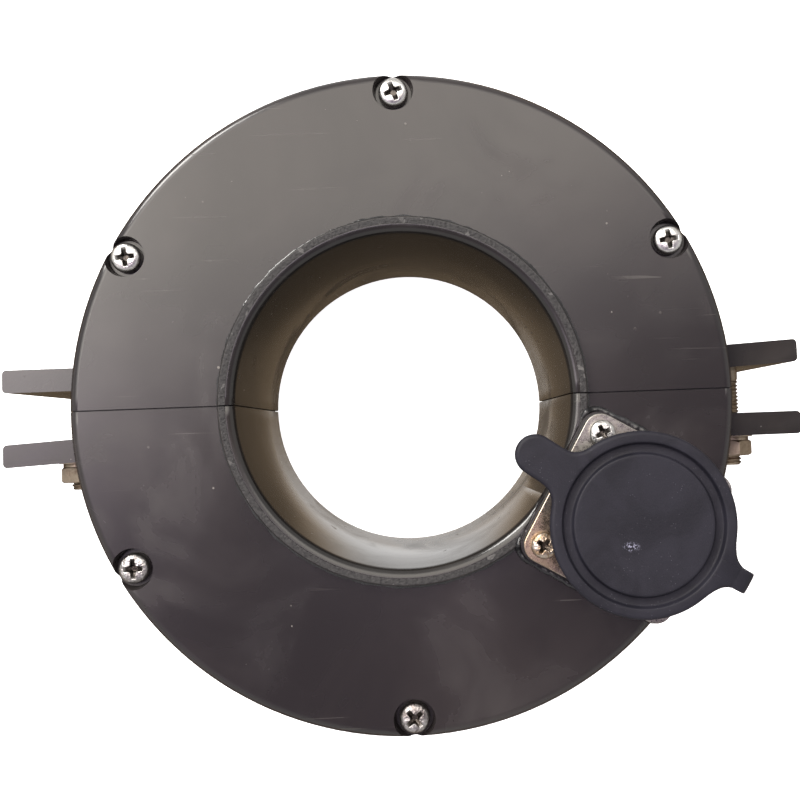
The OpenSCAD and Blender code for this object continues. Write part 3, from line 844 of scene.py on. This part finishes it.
for r, z in ([(4, 104.87), (8, 104.9), (12, 104.93), (15.5, 104.95), (17.6, 104.96), (18.2, 104.97)]
             + [(r_, z_) for r_, z_ in reversed(arc(18.62, 104.42, 0.55, 0, 82, 6))]
             + [(19.25, 104.0)] + arc(19.95, 104.0, 0.65, 195, 265, 4) + arc(21.3, 104.0, 0.65, 275, 348, 4)
             + [(22.02, 104.3)] + arc(22.62, 104.5, 0.46, 172, 95, 5) + [(23.1, 104.98)]):
    cap_row(unit_xy * r, z)
tabby = np.clip((rad_out - 25.6) / 3.0, 0, 1)
under = 102.0 + 0.55 * tabby
for o_, h in ((1.25, 104.99), (0.85, 104.98), (0.55, 104.86), (0.30, 104.66), (0.12, 104.38), (0.0, 104.0)):
    cap_row(out_xy - nor * o_, h)
for o_, f in ((0.0, 0.75), (0.08, 0.45), (0.28, 0.2), (0.6, 0.04), (1.1, 0.0)):
    cap_row(out_xy - nor * o_, under + f)
for r, z in ((23.2, 102.0), (22.85, 101.85), (22.65, 101.5), (22.65, 95.0), (22.65, 88.85), (22.55, 88.6),
             (22.3, 88.5), (21.2, 88.5), (20.95, 88.6), (20.87, 88.85), (20.87, 95.0), (20.87, 101.2),
             (20.5, 101.6), (12, 101.6), (4, 101.6)):
    cap_row(unit_xy * r, z)
for A, B in zip(rows, rows[1:]):
    for i in range(N):
        k = (i + 1) % N
        Fc.append((A + i, B + i, B + k, A + k))
top_c, bot_c = len(V), len(V) + 1
V += [(CX, CY, 104.86), (CX, CY, 101.6)]
for i in range(N):
    k = (i + 1) % N
    Fc.append((top_c, rows[0] + i, rows[0] + k))
    Fc.append((bot_c, rows[-1] + k, rows[-1] + i))
cap = add_mesh("dust_cap_moulding", ([(x * MM, y * MM, z * MM) for x, y, z in V], [], Fc), mats["cap_rubber"],
               "cap")
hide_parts("dust_cap")

# ---- strap: a moulded ribbon that narrows from its root
line = [(25.6, 103.25), (28.0, 103.22), (30.4, 103.1), (31.9, 102.55), (32.75, 101.3), (33.1, 99.4),
        (33.15, 96.6), (33.05, 93.6), (32.5, 90.6), (31.2, 88.2), (29.4, 86.9), (27.0, 86.3),
        (24.6, 86.1), (22.2, 86.0)]


def catmull(P, n):
    out = []
    for i in range(len(P) - 1):
        p0, p1, p2, p3 = P[max(i - 1, 0)], P[i], P[i + 1], P[min(i + 2, len(P) - 1)]
        for k in range(n):
            t = k / n
            out.append(tuple(0.5 * (2 * b + (c - a) * t + (2 * a - 5 * b + 4 * c - d) * t * t
                                    + (3 * b - a - 3 * c + d) * t ** 3)
                             for a, b, c, d in zip(p0, p1, p2, p3)))
    out.append(P[-1])
    return out


curve = catmull(line, 9)
V, Fc = [], []
m = 28
cs, ss = math.cos(math.radians(-31.5)), math.sin(math.radians(-31.5))
length = 0.0
for i, (u, z) in enumerate(curve):
    a, b = curve[max(i - 1, 0)], curve[min(i + 1, len(curve) - 1)]
    if i:
        length += math.hypot(u - curve[i - 1][0], z - curve[i - 1][1])
    tx, tz = b[0] - a[0], b[1] - a[1]
    L_ = math.hypot(tx, tz)
    nx, nz = -tz / L_, tx / L_
    w = 3.05 + 2.2 * max(0.0, 1 - length / 4.2) ** 2
    w += 0.05 * n3(length, 0, 0, 0.8)
    th = 0.74
    for k in range(m):
        q = 2 * math.pi * k / m
        cq, sq = math.cos(q), math.sin(q)
        e = 0.42
        pu = math.copysign(abs(cq) ** e, cq) * w
        pv = math.copysign(abs(sq) ** e, sq) * th
        uu, zz = u + nx * pv, z + nz * pv
        V.append(((CX + uu * cs - pu * ss) * MM, (CY + uu * ss + pu * cs) * MM, zz * MM))
for i in range(len(curve) - 1):
    for k in range(m):
        p0, p1 = i * m + k, i * m + (k + 1) % m
        Fc.append((p0, p1, p1 + m, p0 + m))
Fc.append(tuple(reversed(range(m))))
Fc.append(tuple((len(curve) - 1) * m + k for k in range(m)))
strap = add_mesh("strap_ribbon", (V, [], Fc), mats["cap_rubber"], None)
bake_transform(strap)
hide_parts("cap_strap")

# ---- clamp bolts: chamfered hex heads and rolled threads
V, Fc = [], []
for sx, head_y in ((-1, 9.5), (1, 9.6)):
    nt_ = 60
    rows = []

    def row(f):
        rows.append(len(V))
        for i in range(nt_):
            q = 2 * math.pi * i / nt_
            t, r = f(q)
            V.append(((sx * 110.4 + r * math.cos(q)) * MM, (head_y - t) * MM, (37 + r * math.sin(q)) * MM))

    def hexr(q):
        d = (math.degrees(q) + 30) % 60 - 30
        return 6.5 / math.cos(math.radians(d))

    row(lambda q: (-5.26, 0.02))
    row(lambda q: (-5.26, 5.9))
    row(lambda q: (-5.2, 6.2))
    row(lambda q: (-5.2 + max(0.0, min(hexr(q), 7.42) - 6.2) * 0.5, min(hexr(q), 7.42)))
    row(lambda q: (-0.55, min(hexr(q), 7.42)))
    row(lambda q: (-0.25, min(hexr(q), 7.0) - 0.1))
    row(lambda q: (-0.02, 6.2))
    row(lambda q: (-0.02, 4.15))
    row(lambda q: (0.15, 3.99))
    end = head_y + 25.05
    t = 5.0
    row(lambda q: (5.0, 3.99))
    while t < end - 0.02:
        t += 0.16
        tt = min(t, end)

        def fr(q, tt=tt):
            ph = (tt / 1.25 - q / (2 * math.pi)) % 1.0
            tri = 1 - abs(2 * ph - 1)
            cut = 0.60 * min(1.0, max(0.0, tri * 1.35 - 0.15)) * min(1.0, (tt - 5.0) / 1.5)
            lim = 3.99 if tt < end - 0.9 else 3.99 - 0.8 * (tt - end + 0.9) / 0.9
            return tt, min(3.99 - cut, lim)
        row(fr)
    row(lambda q: (end, 0.02))
    for A, B in zip(rows, rows[1:]):
        for i in range(nt_):
            k = (i + 1) % nt_
            Fc.append((A + i, A + k, B + k, B + i))
    Fc.append(tuple(rows[0] + i for i in reversed(range(nt_))))
    Fc.append(tuple(rows[-1] + i for i in range(nt_)))
bm = bmesh.new()
me = bpy.data.meshes.new("t")
me.from_pydata(V, [], Fc)
bm.from_mesh(me)
bpy.data.meshes.remove(me)
bmesh.ops.recalc_face_normals(bm, faces=bm.faces)
o = add_mesh("clamp_bolts_detail", bm, mats["bolt_zinc"], "housing")
o.data.set_sharp_from_angle(angle=math.radians(38))
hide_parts("clamp_bolts")

# ---- edge breaks on what stays as CAD
for node, width in (("lower_case", 0.35), ("upper_case", 0.35), ("lower_cover", 0.4), ("upper_cover", 0.4),
                    ("connector_shell", 0.28), ("connector_gasket", 0.2), ("clamp_nuts", 0.25),
                    ("plain_washers", 0.15), ("spring_washers", 0.15), ("strap_ring", 0.3),
                    ("connector_insulator", 0.2), ("connector_contacts", 0.15), ("insulator_ring", 0.15)):
    break_edges(node, width)


# ------------------------------------------------------------------- floor
bm = bmesh.new()
bmesh.ops.create_grid(bm, x_segments=8, y_segments=8, size=40.0)
me = bpy.data.meshes.new("floor")
bm.to_mesh(me)
bm.free()
floor = bpy.data.objects.new("floor", me)
floor.location = (0, 0, -0.0003)
scene.collection.objects.link(floor)
F = Mat("floor_pale")
F.set(base=(0.86, 0.86, 0.86), rough=0.9, spec=0.1)
F.p.inputs["Emission Color"].default_value = (1, 1, 1, 1)
F.p.inputs["Emission Strength"].default_value = 1.0
me.materials.append(F.m)
floor.visible_glossy = False

# ------------------------------------------------------------------- world
world = bpy.data.worlds.new("studio")
scene.world = world
world.use_nodes = True
nt = world.node_tree
nt.nodes.clear()
wo = nt.nodes.new("ShaderNodeOutputWorld")
bg = nt.nodes.new("ShaderNodeBackground")
nt.links.new(bg.outputs[0], wo.inputs[0])


class W(Mat):
    def __init__(self):
        self.nt = nt
        tc = nt.nodes.new("ShaderNodeTexCoord")
        self.obj = tc.outputs["Generated"]


w = W()
dx, dy, dz = w.xyz()
t = w.math("SUBTRACT", dy, w.math("MULTIPLY", dx, 0.12))
t = w.math("SUBTRACT", t, w.math("MULTIPLY", w.math("MAXIMUM", dx, 0.0), 0.22))
upper = w.rng(t, -0.02, 0.26, 0.27, 4.4, True)
left = w.rng(w.math("MULTIPLY", dx, -1.0), 0.24, 0.42, 0.0, 5.6, True)
upper = w.math("ADD", upper, w.math("MULTIPLY", left, w.rng(dy, -0.22, 0.12, 0.10, 1.0, True)))
ratio = w.math("DIVIDE", dx, w.math("ADD", w.math("MAXIMUM", dy, 0.0), 0.05))
fan = w.rng(w.math("ABSOLUTE", w.math("ADD", ratio, 0.15)), 0.0, 0.8, 1.0, 0.0, True)
fan = w.math("MULTIPLY", fan, w.rng(dy, -0.03, 0.07, 0.0, 1.0, True))
lower = w.math("ADD", w.math("MULTIPLY", fan, 1.02), 0.19)
deep = w.math("MULTIPLY", w.rng(dz, -0.85, -0.6, 0.10, 0.0, True), w.rng(dy, -0.14, -0.03, 1.0, 0.0, True))
lower = w.math("SUBTRACT", lower, deep)
high = w.rng(dz, 0.62, 0.88, 0.0, 1.0, True)
upper = w.math("ADD", w.math("MULTIPLY", upper, high), w.math("MULTIPLY", w.math("SUBTRACT", 1.0, high), 0.8))
flat = w.math("SQRT", w.math("ADD", w.math("MULTIPLY", dx, dx), w.math("MULTIPLY", dy, dy)))
zenith = w.math("MULTIPLY", w.rng(flat, 0.03, 0.12, 7.0, 0.0, True), w.rng(dz, 0.0, 0.5, 0.0, 1.0, True))
upper = w.math("ADD", upper, zenith)
side = w.rng(dz, -0.25, 0.05, 0.0, 1.0, True)
level = w.math("ADD", w.math("MULTIPLY", upper, side),
               w.math("MULTIPLY", lower, w.math("SUBTRACT", 1.0, side)))
warm_up = w.mix(w.rng(t, -0.15, 0.25, 0, 1, True), (0.92, 0.76, 1.0), (1.0, 0.94, 0.86))
warm_dn = w.mix(w.rng(fan, 0.1, 0.9, 0, 1, True), (1.0, 0.73, 0.47), (1.0, 0.985, 0.97))
warm_up = w.mix(high, (1.0, 0.985, 0.97), warm_up)
tint = w.mix(side, warm_dn, warm_up)
nt.links.new(tint, bg.inputs["Color"])
nt.links.new(level, bg.inputs["Strength"])

# ------------------------------------------------------------------ lights
def area(name, loc, target, size, power, color=(1, 1, 1)):
    d = bpy.data.lights.new(name, "AREA")
    d.shape = "DISK"
    d.size = size
    d.energy = power
    d.color = color
    o = bpy.data.objects.new(name, d)
    o.location = loc
    v = Vector(target) - Vector(loc)
    o.rotation_euler = v.to_track_quat("-Z", "Y").to_euler()
    o.visible_camera = False
    scene.collection.objects.link(o)
    return o


area("key", (-1.25, 1.5, 1.15), (0, 0, 0.05), 0.9, 46, (1.0, 0.97, 0.93))
